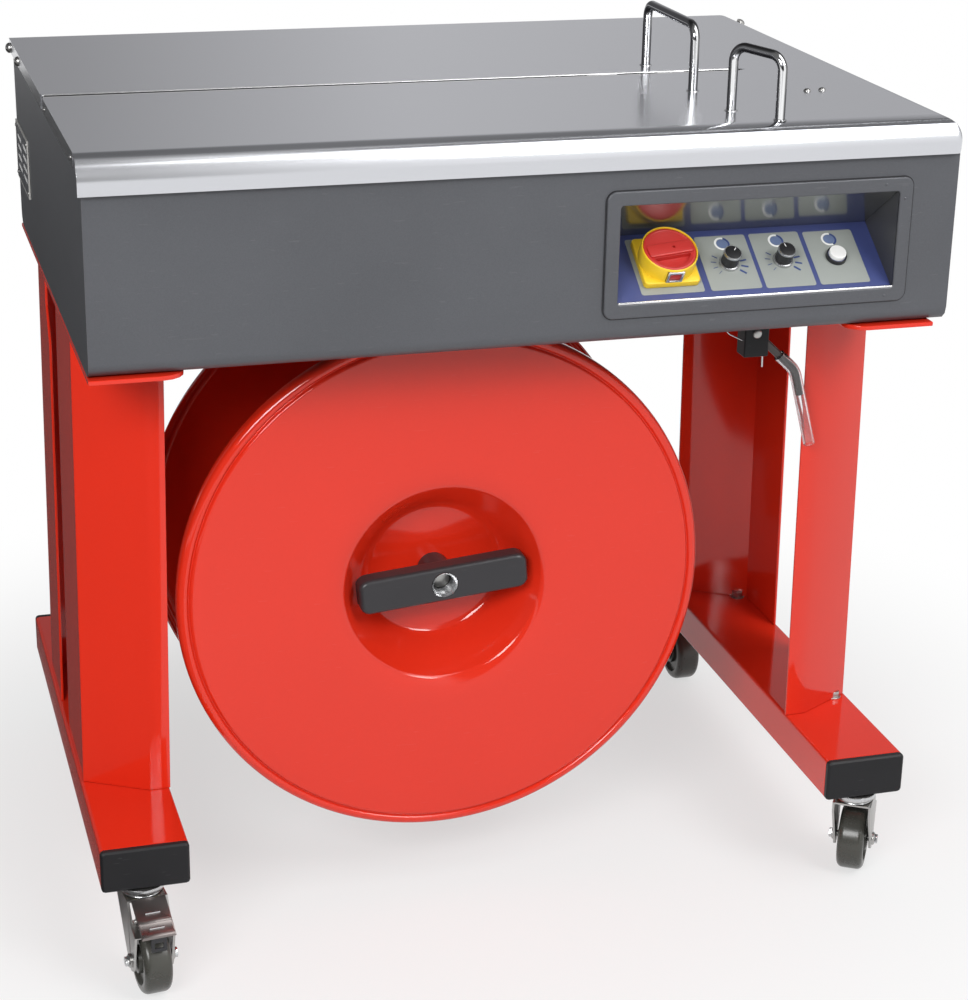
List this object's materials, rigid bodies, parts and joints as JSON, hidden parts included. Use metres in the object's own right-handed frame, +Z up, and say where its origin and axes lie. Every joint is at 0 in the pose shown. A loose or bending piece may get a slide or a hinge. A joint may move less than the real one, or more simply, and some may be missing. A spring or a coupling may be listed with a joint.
{
  "type": "paper banding machine",
  "caption": "Strap banding machine: steel table with strap slot and loop handles on a box housing, bent-sheet leg frame on casters, and a dished strap reel underneath.",
  "frame": {"origin": "on the floor, under the middle of the machine's bounding box", "axes": "+X to the operator's right, the front faces -Y, +Z up"},
  "size_m": [0.9086, 0.719, 0.9545],
  "materials": {
    "charcoal": "fine charcoal hammer coat, satin",
    "red_paint": "glossy red powder coat",
    "table_steel": "brushed stainless sheet",
    "steel": "machined steel",
    "zinc": "bright zinc plate",
    "black_plastic": "moulded black plastic",
    "black_gloss": "dark satin paint on folded sheet",
    "panel_blue": "printed blue panel foil with grey-green fields",
    "yellow": "yellow moulded plastic",
    "switch_red": "red moulded plastic",
    "white": "white translucent cap",
    "grey_paint": "grey machine paint",
    "core_iron": "varnished iron core and winding",
    "tread": "dark grey cast polyurethane",
    "belt": "black rubber",
    "sleeve": "clear soft tube"
  },
  "bodies": {
    "root": {"base_plate": "charcoal", "top_rail_left": "red_paint", "top_rail_right": "red_paint", "leg_front_left": "red_paint", "leg_front_right": "red_paint", "leg_rear_left": "red_paint", "leg_rear_right": "red_paint", "foot_left": "red_paint", "foot_right": "red_paint", "foot_cap_fl": "black_plastic", "foot_cap_fr": "black_plastic", "foot_cap_rl": "black_plastic", "foot_cap_rr": "black_plastic", "housing_shell": "charcoal", "vent_plate": "steel", "control_bezel": "black_gloss", "control_panel": "panel_blue", "switch_base": "yellow", "reel_bracket": "red_paint", "reel_axle": "zinc", "lever_block": "black_plastic", "motor": "grey_paint", "gearbox": "grey_paint", "transformer": "core_iron", "control_box": "grey_paint", "power_inlet": "black_plastic", "sealing_head": "steel", "roller_plate": "steel", "hinge_rod": "zinc", "drive_belt": "belt"},
    "lid": {"top_plate": "table_steel", "strap_track_front": "zinc", "strap_track_rear": "zinc", "u_bar_rear": "zinc", "u_bar_front": "zinc"},
    "switch": {"switch_knob": "switch_red"},
    "timer": {"timer_knob": "black_plastic"},
    "tension": {"tension_knob": "black_plastic"},
    "button": {"push_button": "white"},
    "reel": {"reel_core": "steel", "flange_rear": "red_paint", "flange_front": "red_paint"},
    "handle": {"reel_handle": "black_plastic"},
    "lever": {"brake_lever": "zinc", "lever_sleeve": "sleeve"},
    "motor_drive": {"motor_pulley": "steel"},
    "gear_drive": {"gear_pulley": "steel"},
    "cams": {"cam_shaft": "steel"},
    "feed": {"feed_roller": "belt"},
    "pinch": {"pinch_roller": "belt"},
    "fork_fl": {"caster_fork_fl": "zinc"},
    "wheel_fl": {"caster_wheel_fl": "tread"},
    "pedal_fl": {"brake_pedal_fl": "zinc"},
    "fork_fr": {"caster_fork_fr": "zinc"},
    "wheel_fr": {"caster_wheel_fr": "tread"},
    "fork_rl": {"caster_fork_rl": "zinc"},
    "wheel_rl": {"caster_wheel_rl": "tread"},
    "pedal_rl": {"brake_pedal_rl": "zinc"},
    "fork_rr": {"caster_fork_rr": "zinc"},
    "wheel_rr": {"caster_wheel_rr": "tread"}
  },
  "joints": [
    {"name": "lid_hinge", "type": "hinge", "parent": "root", "child": "lid", "pos_m": [0, 0.3, 0.8715], "axis": [-1, 0, 0], "range_deg": [0, 70]},
    {"name": "switch_turn", "type": "hinge", "parent": "root", "child": "switch", "pos_m": [0.146, -0.2659, 0.73332], "axis": [0, -0.5706, 0.8212], "range_deg": [-90, 0]},
    {"name": "timer_turn", "type": "hinge", "parent": "root", "child": "timer", "pos_m": [0.215, -0.26919, 0.73104], "axis": [0, -0.5706, 0.8212], "range_deg": [-150, 120]},
    {"name": "tension_turn", "type": "hinge", "parent": "root", "child": "tension", "pos_m": [0.2745, -0.26919, 0.73104], "axis": [0, -0.5706, 0.8212], "range_deg": [-120, 150]},
    {"name": "button_press", "type": "slide", "parent": "root", "child": "button", "axis": [0, 0.5706, -0.8212], "range_m": [0, 0.003], "stiffness_N_per_m": 400, "springref_m": -0.001},
    {"name": "reel_spin", "type": "hinge", "parent": "root", "child": "reel", "pos_m": [-0.059, -0.19, 0.3675], "axis": [0, 1, 0], "continuous": true},
    {"name": "handle_turn", "type": "hinge", "parent": "reel", "child": "handle", "pos_m": [-0.059, -0.19, 0.3675], "axis": [0, 1, 0], "continuous": true},
    {"name": "lever_swing", "type": "hinge", "parent": "root", "child": "lever", "pos_m": [0.277, -0.2, 0.6345], "axis": [0, 1, 0], "range_deg": [-10, 15], "stiffness_Nm_per_rad": 6},
    {"name": "motor_spin", "type": "hinge", "parent": "root", "child": "motor_drive", "pos_m": [-0.02, 0.201, 0.7293], "axis": [0, 1, 0], "continuous": true},
    {"name": "gear_spin", "type": "hinge", "parent": "root", "child": "gear_drive", "pos_m": [0.19, 0.201, 0.7538], "axis": [0, 1, 0], "continuous": true},
    {"name": "cam_spin", "type": "hinge", "parent": "root", "child": "cams", "pos_m": [0.19, 0.045, 0.7288], "axis": [0, 1, 0], "continuous": true},
    {"name": "feed_spin", "type": "hinge", "parent": "root", "child": "feed", "pos_m": [0.088, -0.028, 0.7288], "axis": [0, 1, 0], "continuous": true},
    {"name": "pinch_spin", "type": "hinge", "parent": "root", "child": "pinch", "pos_m": [0.088, -0.028, 0.7694], "axis": [0, 1, 0], "continuous": true},
    {"name": "swivel_fl", "type": "hinge", "parent": "root", "child": "fork_fl", "pos_m": [-0.41075, -0.29, 0.1], "axis": [0, 0, 1], "continuous": true},
    {"name": "wheel_spin_fl", "type": "hinge", "parent": "fork_fl", "child": "wheel_fl", "pos_m": [-0.40772, -0.31884, 0.0375], "axis": [-0.9945, -0.1045, 0], "continuous": true},
    {"name": "pedal_press_fl", "type": "hinge", "parent": "fork_fl", "child": "pedal_fl", "pos_m": [-0.40678, -0.32779, 0.088], "axis": [-0.9945, -0.1045, 0], "range_deg": [-6, 6]},
    {"name": "swivel_fr", "type": "hinge", "parent": "root", "child": "fork_fr", "pos_m": [0.39675, -0.29, 0.1], "axis": [0, 0, 1], "continuous": true},
    {"name": "wheel_spin_fr", "type": "hinge", "parent": "fork_fr", "child": "wheel_fr", "pos_m": [0.41212, -0.26541, 0.0375], "axis": [0.848, -0.5299, 0], "continuous": true},
    {"name": "swivel_rl", "type": "hinge", "parent": "root", "child": "fork_rl", "pos_m": [-0.41075, 0.29, 0.1], "axis": [0, 0, 1], "continuous": true},
    {"name": "wheel_spin_rl", "type": "hinge", "parent": "fork_rl", "child": "wheel_rl", "pos_m": [-0.40772, 0.31884, 0.0375], "axis": [0.9945, -0.1045, 0], "continuous": true},
    {"name": "pedal_press_rl", "type": "hinge", "parent": "fork_rl", "child": "pedal_rl", "pos_m": [-0.40678, 0.32779, 0.088], "axis": [0.9945, -0.1045, 0], "range_deg": [-6, 6]},
    {"name": "swivel_rr", "type": "hinge", "parent": "root", "child": "fork_rr", "pos_m": [0.39675, 0.29, 0.1], "axis": [0, 0, 1], "continuous": true},
    {"name": "wheel_spin_rr", "type": "hinge", "parent": "fork_rr", "child": "wheel_rr", "pos_m": [0.39675, 0.261, 0.0375], "axis": [-1, 0, 0], "continuous": true}
  ],
  "couplings": [
    {"joint": "gear_spin", "follows": "motor_spin", "ratio": 0.5},
    {"joint": "pinch_spin", "follows": "feed_spin", "ratio": -1.6667}
  ]
}
